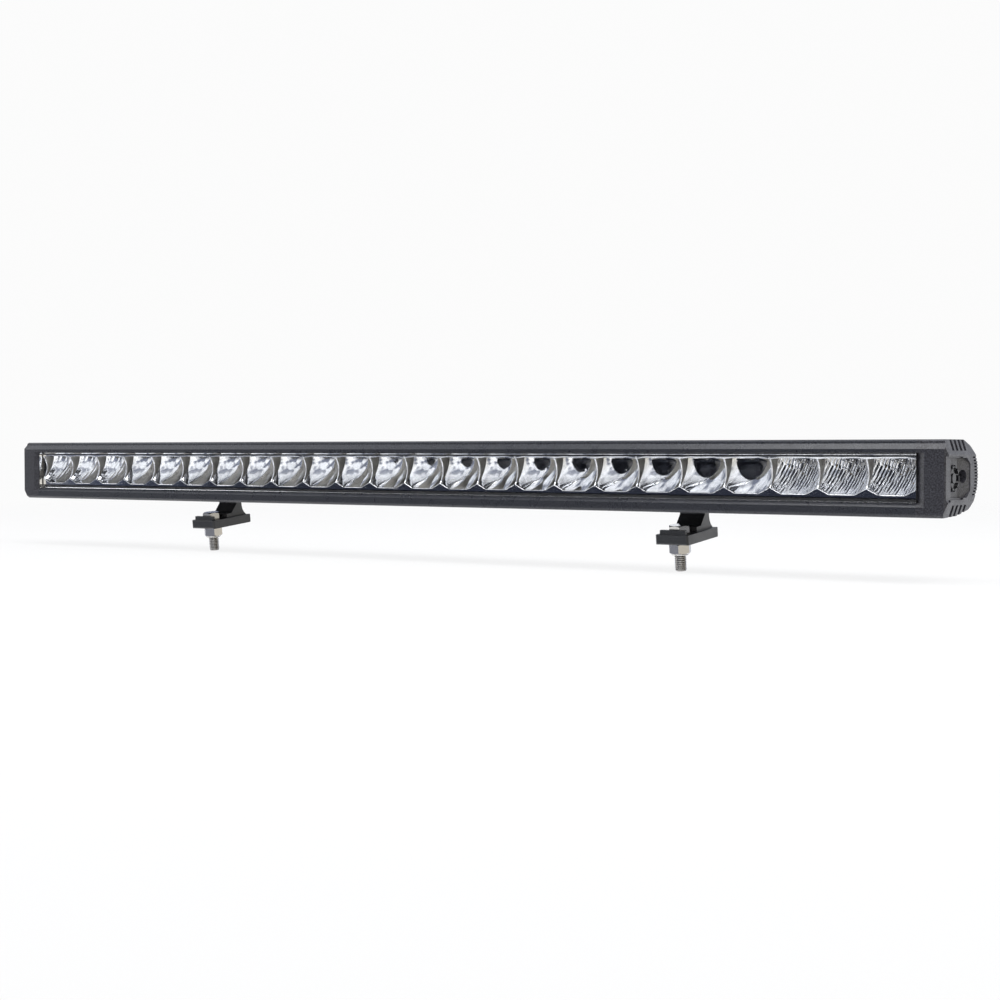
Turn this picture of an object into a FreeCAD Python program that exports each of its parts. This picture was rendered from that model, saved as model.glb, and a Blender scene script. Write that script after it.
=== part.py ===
"""LED light bar: extruded housing, lens, reflector modules and two tilting slide feet.

Lengths are millimetres. Shapes are drawn in working axes: x along the bar from its middle,
y backwards from the front face, z upwards from the lower front rim. Each finished piece is
then moved so that the origin lies on the axis of the foot slot, at the bar's middle.
"""
import FreeCAD
import Part
import math
import os

V = FreeCAD.Vector
X_AXIS = V(1, 0, 0)
Y_AXIS = V(0, 1, 0)
Z_AXIS = V(0, 0, 1)

# ---------------------------------------------------------------- housing
BAR_HALF = 385.0            # half length of the extrusion
CAP_OUTER = 404.4           # half length over the end caps
BAR_DEPTH = 52.0
BAR_HEIGHT = 46.4
WINDOW_LOW = 8.4            # window edges in the front face
WINDOW_HIGH = 38.5
CAVITY_BACK = 27.4          # front face of the web behind the reflectors
LENS_GROOVE_LOW = 6.0
LENS_GROOVE_HIGH = 41.0
LENS_GROOVE_FRONT = 3.0
LENS_GROOVE_BACK = 6.6
FIN_PITCH = 6.6
FIN_GAP = 3.4
FIN_FIRST = 12.0            # distance of the first fin gap from the front face
TOP_FIN_FLOOR = 41.0
LOW_FIN_CEILING = 5.4
TOP_FIN_COUNT = 4
LOW_FIN_COUNT = 3
FLUTE_PITCH = 1.87          # fine ribs on the back
FLUTE_WIDTH = 0.9
FLUTE_DEPTH = 0.8
FLUTE_COUNT = 13

# ---------------------------------------------------------------- foot slot
SLOT_Y = 35.0
SLOT_Z = 10.2
SLOT_MOUTH = 9.0
SLOT_WIDTH = 10.8
SLOT_LOW = 5.8
SLOT_HIGH = 15.0
ORIGIN = V(0, SLOT_Y, SLOT_Z)

# ---------------------------------------------------------------- lens and optics
CELL_PITCH = 32.0
CELLS_PER_MODULE = 3
MODULES = 8
MODULE_GAP = 0.2
CELL_Z = 25.5               # height of a cell's middle
CELL_HALF = 15.4
CELL_UP = 9.5
CELL_DOWN = 12.4
CELL_TOP_FLAT = 8.4         # half width of the flat top and bottom edges
CELL_SHOULDER = 8.9         # height where the sloping corners meet the side walls
SCOOP_DEPTH = 3.4           # hollow in the front edge of the walls between the cells
BOWL_FRONT = 6.9
BOWL_BACK = 24.6            # vertex of the half bowl, whose axis lies in the cell's ceiling
BOWL_RIM_R = 25.0
BOWL_AXIS_Z = CELL_Z + CELL_UP
FOCUS_Y = BOWL_BACK - BOWL_RIM_R ** 2 / (4 * (BOWL_BACK - BOWL_FRONT))
REFLECTOR_BACK = 26.2
REFLECTOR_TOP = 35.8
FLANGE_LOW = 11.4
FLANGE_HIGH = 38.2
BOARD_THICKNESS = 2.4
BOARD_FACE = WINDOW_HIGH - BOARD_THICKNESS      # underside, towards the LEDs
BOARD_FRONT = 8.6
BOARD_REAR = 26.0
BOARDS = 4
LED_SIZE = 3.5
LED_DOME_R = 1.5
LED_HOLE_R = 5.8
BOARD_SCREW_Y = 21.9

# ---------------------------------------------------------------- feet
FOOT_X = {"left": -201.0, "right": 217.7}
FOOT_TILT = 6.0             # degrees, rear of the base plate raised
BEAD_R = 4.0
BEAD_RUN = 0.06             # radial running clearance of the bead in its shoe
SHOE_HALF_LENGTH = 19.0
PLATE_FRONT = -31.5         # base plate, measured from the bead's axis
PLATE_REAR = 10.4
PLATE_TOP = -22.1
PLATE_BOTTOM = -28.6
PLATE_HALF = 12.0
NECK_HALF = 9.3
BOLT_Y = -20.2
BOLT_R = 4.0
SHANK_R = 3.95              # plain part of the bolt, which the nut turns on
SHANK_LENGTH = 13.9
UNDERCUT_R = 3.4            # run-out groove between the shank and the free thread
UNDERCUT_LENGTH = 1.0
BOLT_LENGTH = 25.0
HEX_ACROSS = 13.0
HEAD_HEIGHT = 5.3
NUT_HEIGHT = 6.8
NUT_COLLAR = 1.2
NUT_TURN = {"left": 20.0, "right": -10.0}
NUT_BORE_R = 4.0

# ---------------------------------------------------------------- end caps and fittings
FRAME_BEVEL = 5.2           # width of the bevel at each end of the window
STEP_DEPTH = 1.1            # side recess, open to the front
POCKET_DEPTH = 3.6          # deeper pocket behind it, whose floor ramps out to the rear
LOW_SLOPE = {"right": 3.4, "left": 6.5}      # run of each cap's lower shoulder
SHOULDER_BAND = 9.0         # outer length of the cap with the deeper slots and flutes
TOP_SLOT_FLOOR = 39.7
LOW_SLOT_CEILING = 7.4
NOTCH_DEPTH = 1.5           # notches in the side, along its rear edge
NOTCH_LENGTH = 4.2
PLUG_Y = 16.9
PLUG_Z = 23.3
PLUG_R = 8.0
PLUG_HEAD = 2.0
VENT_SLOTS = 10
CAP_SCREW_Y = 31.0
CAP_SCREW_Z = 24.4
CAP_SCREW_SEAT = 395.6      # where the sunk screw head bears on the cap
GLAND_X = -60.0
GLAND_Z = 24.5


def outline():
    """Side outline of the bar: (y, z, corner radius)."""
    return [(0, 1.8, 1.2), (1.6, 0, 1.2), (24, 0.9, 10), (40.5, 4.4, 5), (46.5, 11.5, 0), (50.8, 17.0, 7),
            (BAR_DEPTH, 24.5, 12), (51.0, 32.0, 9), (47.7, 37.7, 9), (43.0, 42.7, 7),
            (34.5, BAR_HEIGHT, 5), (4.0, BAR_HEIGHT, 0.8), (2.8, 45.4, 0), (2.6, 44.0, 0.3), (0, 40.7, 0.3)]


def prism(points, x0, x1):
    """Solid with a (y, z) outline between two x positions."""
    loop = [V(x0, y, z) for y, z in points]
    face = Part.Face(Part.makePolygon(loop + loop[:1]))
    return face.extrude(V(x1 - x0, 0, 0))


def block(x0, x1, y0, y1, z0, z1):
    return Part.makeBox(x1 - x0, y1 - y0, z1 - z0, V(x0, y0, z0))


def rod(radius, length, base, axis):
    return Part.makeCylinder(radius, length, base, axis)


def hexagon(across, length, base, axis):
    """Hexagonal bar that starts at base and runs along axis."""
    corner = across / math.sqrt(3)
    loop = [V(corner * math.cos(math.radians(60 * i)), corner * math.sin(math.radians(60 * i)), 0)
            for i in range(6)]
    bar = Part.Face(Part.makePolygon(loop + loop[:1])).extrude(V(0, 0, length))
    bar.Placement = FreeCAD.Placement(base, FreeCAD.Rotation(Z_AXIS, axis))
    return bar


def bar_section(x0, x1):
    """Length of the bar's outer shape, with its long edges rounded."""
    solid = prism([(y, z) for y, z, radius in outline()], x0, x1)
    for y, z, radius in outline():
        if radius:
            edges = [e for e in solid.Edges if e.BoundBox.XLength > 1 and abs(e.BoundBox.YMin - y) < 0.01
                     and abs(e.BoundBox.YMax - y) < 0.01 and abs(e.BoundBox.ZMin - z) < 0.01]
            solid = solid.makeFillet(radius, edges)
    return solid


def fuse(shapes):
    return shapes[0].multiFuse(shapes[1:]).removeSplitter() if len(shapes) > 1 else shapes[0]


def cut(body, tools):
    return body.cut(Part.makeCompound(tools)) if tools else body


def fin_gaps(x0, x1, low_count=LOW_FIN_COUNT, floor=TOP_FIN_FLOOR, ceiling=LOW_FIN_CEILING):
    """Gaps between the cooling fins, above and below."""
    gaps = []
    for i in range(TOP_FIN_COUNT):
        y = FIN_FIRST + FIN_PITCH * i
        gaps.append(block(x0, x1, y - FIN_GAP / 2, y + FIN_GAP / 2, floor, BAR_HEIGHT + 1))
    for i in range(low_count):
        y = FIN_FIRST + FIN_PITCH * i
        gaps.append(block(x0, x1, y - FIN_GAP / 2, y + FIN_GAP / 2, -1, ceiling))
    return gaps


def back_edge(z):
    """Depth of the outline's rounded back at height z."""
    back = [(46.5, 11.5), (50.8, 17.0), (BAR_DEPTH, 24.5), (51.0, 32.0), (47.7, 37.7), (43.0, 42.7)]
    for (y0, z0), (y1, z1) in zip(back, back[1:]):
        if z0 <= z <= z1:
            return y0 + (y1 - y0) * (z - z0) / (z1 - z0)
    return BAR_DEPTH


def flutes(x0, x1):
    """Fine grooves along the back."""
    first = GLAND_Z - FLUTE_PITCH * (FLUTE_COUNT - 1) / 2
    cuts = []
    for i in range(FLUTE_COUNT):
        z = first + FLUTE_PITCH * i
        depth = min(back_edge(z - FLUTE_WIDTH / 2), back_edge(z + FLUTE_WIDTH / 2)) - FLUTE_DEPTH
        cuts.append(block(x0, x1, depth, BAR_DEPTH + 1, z - FLUTE_WIDTH / 2, z + FLUTE_WIDTH / 2))
    return cuts


def window(x0, x1):
    """Opening in the front face, with its sloping lower edge."""
    return prism([(-1, 6.2 - 1), (0, 6.2), (2.4, WINDOW_LOW), (LENS_GROOVE_FRONT, WINDOW_LOW),
                  (LENS_GROOVE_FRONT, WINDOW_HIGH), (-1, WINDOW_HIGH)], x0, x1)


def housing():
    """Extruded body: bezel, lens grooves, web, driver chamber, fins and foot slot."""
    x0, x1 = -BAR_HALF, BAR_HALF
    body = bar_section(x0, x1)
    grooves = block(x0, x1, LENS_GROOVE_FRONT, LENS_GROOVE_BACK, LENS_GROOVE_LOW, LENS_GROOVE_HIGH)
    cavity = block(x0, x1, LENS_GROOVE_BACK, CAVITY_BACK, WINDOW_LOW, WINDOW_HIGH)
    driver_room = [(36, 17.2), (48.0, 17.2), (49.2, 24.5), (48.2, 32.0), (45.2, 37.0), (36, 37.0)]
    chamber = prism(driver_room, x0, x1)
    mouth = block(x0, x1, SLOT_Y - SLOT_MOUTH / 2, SLOT_Y + SLOT_MOUTH / 2, -1, SLOT_LOW)
    slot = block(x0, x1, SLOT_Y - SLOT_WIDTH / 2, SLOT_Y + SLOT_WIDTH / 2, SLOT_LOW, SLOT_HIGH)
    tools = [window(x0, x1), grooves, cavity, chamber, mouth, slot] + fin_gaps(x0, x1) + flutes(x0, x1)
    for side in (-1, 1):
        tools.append(rod(1.65, 20, V(side * BAR_HALF, CAP_SCREW_Y, CAP_SCREW_Z), V(-side, 0, 0)))
    tools.append(rod(6.05, 8, V(GLAND_X, BAR_DEPTH + 1, GLAND_Z), V(0, -1, 0)))
    tools.append(rod(10.5, 3, V(GLAND_X, BAR_DEPTH - 1, GLAND_Z), Y_AXIS))
    tools += [rod(1.25, 4.5, V(x, BOARD_SCREW_Y, WINDOW_HIGH), Z_AXIS) for x in board_screw_places()]
    tools.append(rod(3.0, 12, V(0, CAVITY_BACK - 1, 31.0), Y_AXIS))
    return cut(body, tools)


def lens():
    """Clear cover, thick in the window and thin in the grooves."""
    half = BAR_HALF - 0.1
    return prism([(3.1, 6.4), (6.0, 6.4), (6.0, 40.6), (3.1, 40.6), (3.1, WINDOW_HIGH - 0.3),
                  (2.2, WINDOW_HIGH - 0.3), (1.2, WINDOW_HIGH - 1.4), (1.2, WINDOW_LOW + 1.5),
                  (2.2, WINDOW_LOW + 0.4), (3.1, WINDOW_LOW + 0.4)], -half, half)


def lens_seal(edge):
    """Silicone strip behind the lens along its upper or lower edge."""
    half = BAR_HALF - 0.1
    if edge == "top":
        return block(-half, half, 6.02, 6.58, 36.1, 40.8)
    return block(-half, half, 6.02, 6.58, 6.2, 10.8)


def cell_outline():
    """Opening of one reflector cell, as (x, z) offsets from its middle."""
    return [(-CELL_TOP_FLAT, CELL_UP), (CELL_TOP_FLAT, CELL_UP), (CELL_HALF, CELL_SHOULDER),
            (CELL_HALF, -CELL_SHOULDER), (CELL_TOP_FLAT, -CELL_DOWN), (-CELL_TOP_FLAT, -CELL_DOWN),
            (-CELL_HALF, -CELL_SHOULDER), (-CELL_HALF, CELL_SHOULDER)]


def bowl(x):
    """Space inside one reflector cell: a paraboloid under the cell's ceiling, cropped to its opening."""
    steps = 10
    front, back = BOWL_FRONT - 1, BOWL_BACK + 1
    curve = []
    for i in range(steps + 1):
        r = BOWL_RIM_R * i / steps
        curve.append(V(r, BOWL_BACK - (BOWL_BACK - BOWL_FRONT) * (r / BOWL_RIM_R) ** 2, 0))
    spline = Part.BSplineCurve()
    spline.interpolate(curve)
    edges = [spline.toShape(),
             Part.makeLine(curve[-1], V(BOWL_RIM_R, front, 0)),
             Part.makeLine(V(BOWL_RIM_R, front, 0), V(0, front, 0)),
             Part.makeLine(V(0, front, 0), curve[0])]
    round_part = Part.Face(Part.Wire(edges)).revolve(V(0, 0, 0), Y_AXIS, 360)
    round_part.translate(V(0, 0, CELL_UP))
    loop = [V(dx, front, dz) for dx, dz in cell_outline()]
    crop = Part.Face(Part.makePolygon(loop + loop[:1])).extrude(V(0, back - front, 0))
    space = round_part.common(crop)
    space.translate(V(x, 0, CELL_Z))
    return space


def wall_scoop(half):
    """Cylinder along a module that hollows the front edges of the walls between its cells."""
    radius = (CELL_SHOULDER ** 2 + SCOOP_DEPTH ** 2) / (2 * SCOOP_DEPTH)
    return rod(radius, 2 * half, V(-half, BOWL_FRONT + SCOOP_DEPTH - radius, CELL_Z), X_AXIS)


def reflector_module(index):
    """Three half bowls in one moulding, each with a hole in its ceiling for the LED."""
    width = CELL_PITCH * CELLS_PER_MODULE
    middle = (index - (MODULES - 1) / 2) * width
    half = (width - MODULE_GAP) / 2
    flange = block(-half, half, BOWL_FRONT, BOWL_FRONT + 1.4, FLANGE_LOW, FLANGE_HIGH)
    core = block(-half, half, BOWL_FRONT + 1.4, REFLECTOR_BACK, CELL_Z - CELL_DOWN - 1.2, REFLECTOR_TOP)
    pegs = [rod(1.6, CAVITY_BACK - REFLECTOR_BACK, V(side * CELL_PITCH / 2, REFLECTOR_BACK, CELL_Z), Y_AXIS)
            for side in (-1, 1)]
    solid = fuse([flange, core] + pegs)
    spaces = [wall_scoop(half)]
    for i in range(CELLS_PER_MODULE):
        x = (i - 1) * CELL_PITCH
        spaces.append(bowl(x))
        spaces.append(rod(LED_HOLE_R, 2.5, V(x, FOCUS_Y, BOWL_AXIS_Z - 1), Z_AXIS))
    for side in (-1, 1):
        spaces.append(rod(3.2, 3, V(side * CELL_PITCH / 2, BOARD_SCREW_Y, REFLECTOR_TOP - 1.8), Z_AXIS))
    solid = cut(solid, spaces)
    solid.translate(V(middle, 0, 0))
    return solid


def cell_centres():
    count = MODULES * CELLS_PER_MODULE
    return [(i - (count - 1) / 2) * CELL_PITCH for i in range(count)]


def board_screw_places():
    """Positions along the bar of the LED boards' screws: two per board, between cells."""
    length = CELL_PITCH * MODULES * CELLS_PER_MODULE / BOARDS
    middles = [(i - (BOARDS - 1) / 2) * length for i in range(BOARDS)]
    return [middle + side * CELL_PITCH * 2 for middle in middles for side in (-1, 1)]


def led_board(index):
    """Metal-core board for six LEDs, screwed to the roof of the lens cavity."""
    length = CELL_PITCH * MODULES * CELLS_PER_MODULE / BOARDS
    middle = (index - (BOARDS - 1) / 2) * length
    half = length / 2 - 0.3
    board = block(middle - half, middle + half, BOARD_FRONT, BOARD_REAR, BOARD_FACE, WINDOW_HIGH)
    holes = [rod(1.7, 4, V(x, BOARD_SCREW_Y, BOARD_FACE - 1), Z_AXIS) for x in board_screw_places()]
    return cut(board, holes)


def leds():
    """One package with a domed lens over every half bowl, shining down into it."""
    base_depth, s = 0.9, LED_SIZE / 2
    packages = []
    for x in cell_centres():
        base = block(x - s, x + s, FOCUS_Y - s, FOCUS_Y + s, BOARD_FACE - base_depth, BOARD_FACE)
        dome = Part.makeSphere(LED_DOME_R, V(x, FOCUS_Y, BOARD_FACE - base_depth))
        lower_half = block(x - 3, x + 3, FOCUS_Y - 3, FOCUS_Y + 3, BOARD_FACE - 4, BOARD_FACE - 0.5)
        packages.append(fuse([base, dome.common(lower_half)]))
    return Part.makeCompound(packages)


def board_screws():
    head_depth = 1.8
    screws = []
    for x in board_screw_places():
        head = rod(2.7, head_depth, V(x, BOARD_SCREW_Y, BOARD_FACE), V(0, 0, -1))
        shank = rod(1.2, BOARD_THICKNESS + 4.0, V(x, BOARD_SCREW_Y, BOARD_FACE), Z_AXIS)
        socket = hexagon(1.8, 1.2, V(x, BOARD_SCREW_Y, BOARD_FACE - head_depth), Z_AXIS)
        screws.append(fuse([head, shank]).cut(socket))
    return Part.makeCompound(screws)


def driver_board():
    """Constant-current driver board on the web's back, in the rear chamber."""
    return block(-150, 40, 36.0, 37.6, 18.2, 36.0)


def driver_chokes():
    chokes = []
    for x in (-120, -84, -26):
        body = block(x - 6, x + 6, 37.6, 44.3, 20.5, 32.5)
        core = rod(4.2, 1.0, V(x, 44.3, 26.5), Y_AXIS)
        chokes.append(fuse([body, core]))
    return Part.makeCompound(chokes)


def driver_capacitors():
    return Part.makeCompound([rod(4.0, 8.5, V(x, 37.6, 27.0), Y_AXIS) for x in (-104, -45, 0, 12)])


def cap_pocket():
    """Stepped recess in the side of the right end cap; its deep part ramps out to the rear."""
    floor = [(8.6, 11.6), (32.4, 11.6), (38.6, 15.8), (38.6, 31.8), (33.0, 35.4), (8.6, 35.4)]
    deep, shallow = CAP_OUTER - POCKET_DEPTH, CAP_OUTER - 0.4
    loop = [V(deep, 8, 0), V(deep, 25.4, 0), V(shallow, 38.4, 0),
            V(CAP_OUTER + 1, 38.4, 0), V(CAP_OUTER + 1, 8, 0)]
    ramp = Part.Face(Part.makePolygon(loop + loop[:1])).extrude(V(0, 0, BAR_HEIGHT))
    step = block(CAP_OUTER - STEP_DEPTH, CAP_OUTER + 1, -1, 26.0, 10.6, 36.2)
    ledge = Part.makePolygon([V(CAP_OUTER - STEP_DEPTH, -1, 10.6), V(CAP_OUTER + 1, -1, 10.6),
                              V(CAP_OUTER + 1, -1, 7.4), V(CAP_OUTER - STEP_DEPTH, -1, 10.6)])
    facet = Part.Face(ledge).extrude(V(0, 6.5, 0))
    return [step, ramp.common(prism(floor, CAP_OUTER - POCKET_DEPTH - 1, CAP_OUTER + 1)), facet]


def shoulder_slopes(low_run):
    """Waste above and below the sloping shoulders and at the front corner of the right cap."""
    def wedge(points):
        loop = [V(x, -2, z) for x, z in points]
        return Part.Face(Part.makePolygon(loop + loop[:1])).extrude(V(0, BAR_DEPTH + 4, 0))
    top = wedge([(CAP_OUTER, 37.4), (CAP_OUTER - 3.0, 47.0), (CAP_OUTER + 3, 47.0), (CAP_OUTER + 3, 37.4)])
    low = wedge([(CAP_OUTER, 9.2), (CAP_OUTER + 3, 9.2), (CAP_OUTER + 3, -1.0),
                 (CAP_OUTER - low_run, -1.0)])
    loop = [V(CAP_OUTER - 1.8, -1, -1), V(CAP_OUTER - 1.8, 0, -1), V(CAP_OUTER, 2.2, -1),
            V(CAP_OUTER + 3, 2.2, -1), V(CAP_OUTER + 3, -1, -1)]
    corner = Part.Face(Part.makePolygon(loop + loop[:1])).extrude(V(0, 0, BAR_HEIGHT + 2))
    return [top, low, corner]


def gasket_ring():
    """Flat seal between an end cap and the extrusion, as (outer, inner) (y, z) loops."""
    outer = [(3.4, 5.6), (28.8, 5.6), (28.8, 15.8), (46.8, 15.8), (49.2, 18.6), (50.2, 24.5),
             (49.4, 31.6), (46.2, 37.0), (41.6, 40.4), (3.4, 40.8)]
    inner = [(5.4, 9.0), (26.6, 9.0), (26.6, 17.6), (46.6, 17.6), (48.0, 24.5), (47.0, 31.6),
             (44.4, 36.2), (5.4, 37.9)]
    return outer, inner


def window_end():
    """Bevel that closes the window at the right cap, mitred into the window's lower slope."""
    edge = BAR_HALF + FRAME_BEVEL
    loop = [V(BAR_HALF - 1, -1, 0), V(edge + 1.7, -1, 0), V(edge, 0, 0), V(BAR_HALF, LENS_GROOVE_FRONT, 0),
            V(BAR_HALF - 1, LENS_GROOVE_FRONT, 0)]
    wedge = Part.Face(Part.makePolygon(loop + loop[:1])).extrude(V(0, 0, BAR_HEIGHT))
    return wedge.common(window(BAR_HALF - 2, edge + 3))


def side_notches():
    """Row of short notches in the cap's side, in step with the flutes behind them."""
    cuts = []
    for i in range(FLUTE_COUNT):
        z = GLAND_Z + FLUTE_PITCH * (i - (FLUTE_COUNT - 1) / 2)
        rear = back_edge(z) - 0.9 - FLUTE_DEPTH
        cuts.append(block(CAP_OUTER - NOTCH_DEPTH, CAP_OUTER + 1, rear - NOTCH_LENGTH, rear,
                          z - FLUTE_WIDTH / 2, z + FLUTE_WIDTH / 2))
    return cuts


def end_cap(low_run):
    """End cap for the right: pocketed side, finned shoulders, hollow inside."""
    body = bar_section(BAR_HALF, CAP_OUTER)
    hollow = prism([(5.4, 11.0), (27.0, 11.0), (27.0, 17.4), (46.6, 17.4), (48.0, 24.5), (47.0, 31.6),
                    (44.0, 36.2), (5.4, 37.4)], BAR_HALF - 1, CAP_OUTER - POCKET_DEPTH - 3.2)
    boss = rod(5.2, 40, V(BAR_HALF - 2, CAP_SCREW_Y, CAP_SCREW_Z), X_AXIS)
    hollow = hollow.cut(boss)
    outer, inner = gasket_ring()
    seat = prism(outer, BAR_HALF - 1, BAR_HALF + 1.0).cut(prism(inner, BAR_HALF - 2, BAR_HALF + 2))
    tools = [hollow, seat, window_end()] + cap_pocket() + shoulder_slopes(low_run)
    tools += fin_gaps(BAR_HALF - 1, CAP_OUTER + 1) + flutes(BAR_HALF - 1, CAP_OUTER + 1)
    band = CAP_OUTER - SHOULDER_BAND
    tools += fin_gaps(band, CAP_OUTER + 1, TOP_FIN_COUNT, TOP_SLOT_FLOOR, LOW_SLOT_CEILING)
    tools += side_notches()
    tools.append(rod(6.05, 30, V(BAR_HALF, PLUG_Y, PLUG_Z), X_AXIS))
    tools.append(rod(2.2, 30, V(BAR_HALF - 1, CAP_SCREW_Y, CAP_SCREW_Z), X_AXIS))
    tools.append(rod(4.0, 12, V(CAP_SCREW_SEAT, CAP_SCREW_Y, CAP_SCREW_Z), X_AXIS))
    return cut(body, tools)


def cap_gasket():
    outer, inner = gasket_ring()
    return prism(outer, BAR_HALF, BAR_HALF + 1.0).cut(prism(inner, BAR_HALF - 1, BAR_HALF + 2))


def cap_screw():
    """Socket-head screw that pulls the end cap onto the extrusion."""
    seat = CAP_SCREW_SEAT
    head = rod(3.5, 3.9, V(seat, CAP_SCREW_Y, CAP_SCREW_Z), X_AXIS)
    shank = rod(1.6, seat - BAR_HALF + 15, V(seat, CAP_SCREW_Y, CAP_SCREW_Z), V(-1, 0, 0))
    socket = hexagon(3.0, 2.4, V(seat + 3.9, CAP_SCREW_Y, CAP_SCREW_Z), V(-1, 0, 0))
    return fuse([head, shank]).cut(socket)


def side_plug(vented):
    """Screwed plug in the end cap's pocket; the vented one has air slots round its head."""
    face = CAP_OUTER - POCKET_DEPTH
    centre = V(face, PLUG_Y, PLUG_Z)
    head = rod(PLUG_R, PLUG_HEAD, centre, X_AXIS)
    head = head.makeChamfer(0.6, [head.Edges[0]])
    thread = rod(6.0, 6.4, centre, V(-1, 0, 0))
    cup = rod(PLUG_R - 1.6, PLUG_HEAD, centre + V(PLUG_HEAD - 1.3, 0, 0), X_AXIS)
    plug = fuse([head, thread]).cut(cup)
    if not vented:
        return plug.cut(hexagon(6.0, 2.4, centre + V(PLUG_HEAD - 1.2, 0, 0), V(-1, 0, 0)))
    slots = []
    for i in range(VENT_SLOTS):
        slot = block(face + 0.8, face + PLUG_HEAD + 1, PLUG_Y - 0.6, PLUG_Y + 0.6,
                     PLUG_Z + PLUG_R - 1.9, PLUG_Z + PLUG_R + 1)
        slot.rotate(centre, X_AXIS, 360 * i / VENT_SLOTS)
        slots.append(slot)
    return fuse([cut(plug, slots), rod(3.0, PLUG_HEAD - 0.4, centre, X_AXIS)])


def gland_body():
    """Cable inlet screwed into the back, with its bore for a round cable."""
    seat = BAR_DEPTH - 1
    collar = hexagon(17.0, 4.0, V(GLAND_X, seat, GLAND_Z), Y_AXIS)
    thread = rod(6.0, 6.0, V(GLAND_X, seat, GLAND_Z), V(0, -1, 0))
    nose = rod(6.2, 9.0, V(GLAND_X, seat + 4.0, GLAND_Z), Y_AXIS)
    return fuse([collar, thread, nose]).cut(rod(4.2, 30, V(GLAND_X, seat - 8, GLAND_Z), Y_AXIS))


def gland_seal():
    seat = BAR_DEPTH + 3.0
    ring = rod(4.15, 9.0, V(GLAND_X, seat, GLAND_Z), Y_AXIS)
    return ring.cut(rod(2.6, 30, V(GLAND_X, seat - 5, GLAND_Z), Y_AXIS))


def gland_nut():
    seat = BAR_DEPTH + 3.4
    skirt = hexagon(16.0, 6.5, V(GLAND_X, seat, GLAND_Z), Y_AXIS)
    dome = Part.makeCone(7.8, 4.4, 5.0, V(GLAND_X, seat + 6.5, GLAND_Z), Y_AXIS)
    inside = rod(6.3, 8.8, V(GLAND_X, seat - 0.1, GLAND_Z), Y_AXIS)
    return fuse([skirt, dome]).cut(inside).cut(rod(3.2, 30, V(GLAND_X, seat - 5, GLAND_Z), Y_AXIS))


def shoe(x):
    """Slider in the foot slot, with the round groove in which the foot's bead turns."""
    body = block(x - SHOE_HALF_LENGTH, x + SHOE_HALF_LENGTH, SLOT_Y - 5.1, SLOT_Y + 5.1, 6.1, 14.7)
    groove = rod(BEAD_R + BEAD_RUN, 60, V(x - 30, SLOT_Y, SLOT_Z), X_AXIS)
    mouth = block(x - 30, x + 30, SLOT_Y - 3.3, SLOT_Y + 3.3, 5, SLOT_Z)
    holes = [rod(2.0, 30, V(x + side * 14.5, SLOT_Y, 0), Z_AXIS) for side in (-1, 1)]
    return cut(body, [groove, mouth] + holes)


def shoe_screws(x):
    """Set screws that lock the shoe against the roof of the slot."""
    screws = []
    for side in (-1, 1):
        screw = rod(1.98, 8.0, V(x + side * 14.5, SLOT_Y, 6.9), Z_AXIS)
        screws.append(screw.cut(hexagon(2.0, 2.2, V(x + side * 14.5, SLOT_Y, 6.9), Z_AXIS)))
    return Part.makeCompound(screws)


def foot_prism(points, half):
    """Solid with a (y, z) outline measured from the bead's axis, centred on the foot."""
    return prism([(SLOT_Y + y, SLOT_Z + z) for y, z in points], -half, half)


def foot():
    """Base plate, front lip, bolt-head channel, sloping neck and swivel bead, not yet tilted."""
    t, b = PLATE_TOP, PLATE_BOTTOM
    plate = foot_prism([(PLATE_FRONT, b + 1.0), (PLATE_FRONT + 1.0, b), (PLATE_REAR - 0.6, b),
                        (PLATE_REAR, b + 0.6), (PLATE_REAR, t), (PLATE_FRONT + 0.5, t),
                        (PLATE_FRONT, t - 0.5)], PLATE_HALF)
    corners = [e for e in plate.Edges if abs(e.BoundBox.YLength) < 1e-6 and abs(e.BoundBox.XLength) < 1e-6
               and e.BoundBox.ZLength > 4 and e.BoundBox.YMin < SLOT_Y + PLATE_FRONT + 0.1]
    plate = plate.makeChamfer(1.2, corners)
    lip = foot_prism([(-29.8, t), (-29.6, t + 2.9), (-26.9, t + 2.9), (-26.9, t)], NECK_HALF)
    neck = foot_prism([(-13.5, t), (-13.5, t + 3.2), (-7.9, t + 3.2), (-1.6, -12.2), (-1.9, -9.5),
                       (-1.9, 0), (1.9, 0), (1.9, -8.5), (4.3, -12.0), (4.4, -14.6), (5.0, -17.4),
                       (6.4, -19.8), (8.8, t)], NECK_HALF)
    bead = rod(BEAD_R, 2 * NECK_HALF, V(-NECK_HALF, SLOT_Y, SLOT_Z), X_AXIS)
    hole = rod(BOLT_R + 0.3, 30, V(0, SLOT_Y + BOLT_Y, SLOT_Z + b - 5), Z_AXIS)
    return fuse([plate, lip, neck, bead]).cut(hole)


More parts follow.
